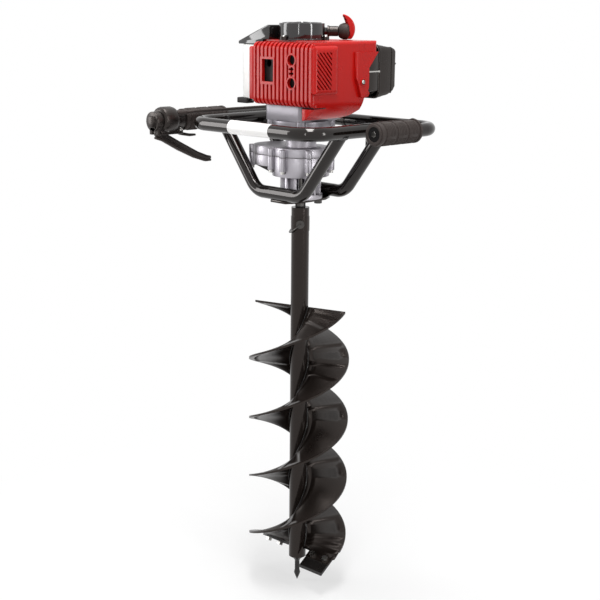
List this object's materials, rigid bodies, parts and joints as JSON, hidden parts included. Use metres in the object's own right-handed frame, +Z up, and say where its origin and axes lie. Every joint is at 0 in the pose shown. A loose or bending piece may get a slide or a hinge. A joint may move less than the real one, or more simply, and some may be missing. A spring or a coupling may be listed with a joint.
{
  "type": "earth auger",
  "caption": "Hand-held petrol earth auger: bent-tube frame with side grips, small shrouded engine over a reduction gearbox, and a black spiral bit with cutting blades.",
  "frame": {"origin": "tip of the pilot point, on the drive axis", "axes": "+Z up along the drive axis, +X towards the cylinder head, -Y towards the muffler cover"},
  "size_m": [0.484, 0.3635, 1.1517],
  "materials": {
    "black_paint": "gloss black enamel",
    "grip_rubber": "matt",
    "black_plastic": "semi-gloss",
    "red_plastic": "gloss",
    "cast_aluminium": "fine cast",
    "steel": "zinc plated",
    "blade_steel": "satin black",
    "tank_plastic": "natural translucent polyethylene",
    "porcelain_white": "glazed",
    "foam": "open-cell foam and cord"
  },
  "bodies": {
    "chassis": {"handlebar": "black_paint", "frame_loop": "black_paint", "front_support": "black_paint", "rear_support": "black_paint", "base_plate": "black_paint", "base_bolts": "steel", "right_grip": "grip_rubber", "left_grip": "grip_rubber", "throttle_housing": "black_plastic", "throttle_cable": "grip_rubber", "gearbox_foot": "cast_aluminium", "gearbox_lower": "cast_aluminium", "gearbox_upper": "cast_aluminium", "shaft_bearings": "steel", "clutch_case": "cast_aluminium", "case_bolts": "steel", "fan_case": "cast_aluminium", "flywheel": "cast_aluminium", "ignition_coil": "black_plastic", "clutch_shoes": "steel", "crankcase": "cast_aluminium", "crankshaft": "steel", "connecting_rod": "cast_aluminium", "piston": "cast_aluminium", "engine_cylinder": "cast_aluminium", "spark_plug": "porcelain_white", "plug_cap": "grip_rubber", "muffler": "steel", "muffler_cover": "red_plastic", "engine_shroud": "red_plastic", "carburettor": "cast_aluminium", "air_base": "black_plastic", "air_element": "foam", "air_cover": "black_plastic", "fuel_tank": "tank_plastic", "tank_guard": "black_plastic", "fuel_hose": "grip_rubber", "starter_housing": "black_plastic"},
    "bit": {"output_gear": "steel", "output_shaft": "steel", "bit_pole": "black_paint", "flight_a": "black_paint", "flight_b": "black_paint", "blades": "blade_steel", "blade_bolts": "steel", "pilot_point": "blade_steel", "hitch_pin": "steel"},
    "layshaft": {"lay_gear": "steel"},
    "drum": {"clutch_drum": "steel"},
    "throttle": {"throttle_lever": "black_plastic"},
    "lock": {"lock_lever": "black_plastic"},
    "switch": {"stop_switch": "red_plastic"},
    "choke": {"choke_lever": "black_plastic"},
    "primer": {"primer_bulb": "red_plastic"},
    "knob": {"cover_knob": "black_plastic"},
    "cap": {"fuel_cap": "black_plastic"},
    "reel": {"starter_reel": "black_plastic"},
    "pull": {"starter_grip": "red_plastic", "starter_rope": "foam"},
    "bail": {"pin_bail": "steel"}
  },
  "joints": [
    {"name": "bit_spin", "type": "hinge", "parent": "chassis", "child": "bit", "pos_m": [0, 0, 0.8], "axis": [0, 0, 1], "continuous": true},
    {"name": "layshaft_spin", "type": "hinge", "parent": "chassis", "child": "layshaft", "pos_m": [-0.054, 0, 0.875], "axis": [0, 0, 1], "continuous": true},
    {"name": "drum_spin", "type": "hinge", "parent": "chassis", "child": "drum", "pos_m": [0, 0, 0.93], "axis": [0, 0, 1], "continuous": true},
    {"name": "throttle_squeeze", "type": "hinge", "parent": "chassis", "child": "throttle", "pos_m": [-0.22, -0.174, 0.9275], "axis": [1, 0, 0], "range_deg": [0, 11], "stiffness_Nm_per_rad": 0.6, "springref_deg": -14.32},
    {"name": "lock_press", "type": "hinge", "parent": "chassis", "child": "lock", "pos_m": [-0.22, -0.134, 0.9275], "axis": [1, 0, 0], "range_deg": [0, 6], "stiffness_Nm_per_rad": 0.2, "springref_deg": -11.46},
    {"name": "stop_slide", "type": "slide", "parent": "chassis", "child": "switch", "axis": [0, 1, 0], "range_m": [0, 0.005]},
    {"name": "choke_turn", "type": "hinge", "parent": "chassis", "child": "choke", "pos_m": [0.024, 0.1, 1.011], "axis": [0, 1, 0], "range_deg": [-60, 0]},
    {"name": "primer_press", "type": "slide", "parent": "chassis", "child": "primer", "axis": [0, 0, 1], "range_m": [0, 0.0025], "stiffness_N_per_m": 400, "springref_m": -0.001},
    {"name": "knob_turn", "type": "hinge", "parent": "chassis", "child": "knob", "pos_m": [0.072, 0.16, 1.065], "axis": [0, 1, 0], "continuous": true},
    {"name": "cap_turn", "type": "hinge", "parent": "chassis", "child": "cap", "pos_m": [-0.096, 0.032, 1.1], "axis": [0, 0, 1], "range_deg": [0, 270]},
    {"name": "starter_pull", "type": "slide", "parent": "chassis", "child": "pull", "axis": [0.7071, 0.7071, 0], "range_m": [0, 0.6]},
    {"name": "reel_turn", "type": "hinge", "parent": "chassis", "child": "reel", "pos_m": [0, 0, 1.12], "axis": [0, 0, 1], "range_deg": [-1140, 0], "stiffness_Nm_per_rad": 0.01, "springref_deg": 572.96},
    {"name": "bail_swing", "type": "hinge", "parent": "bit", "child": "bail", "pos_m": [0, 0, 0.757], "axis": [0.7071, -0.7071, 0], "range_deg": [-85, 0]}
  ],
  "couplings": [
    {"joint": "layshaft_spin", "follows": "bit_spin", "ratio": -5.5455},
    {"joint": "drum_spin", "follows": "bit_spin", "ratio": 34.382},
    {"joint": "starter_pull", "follows": "reel_turn", "m_per_rad": -0.03}
  ]
}
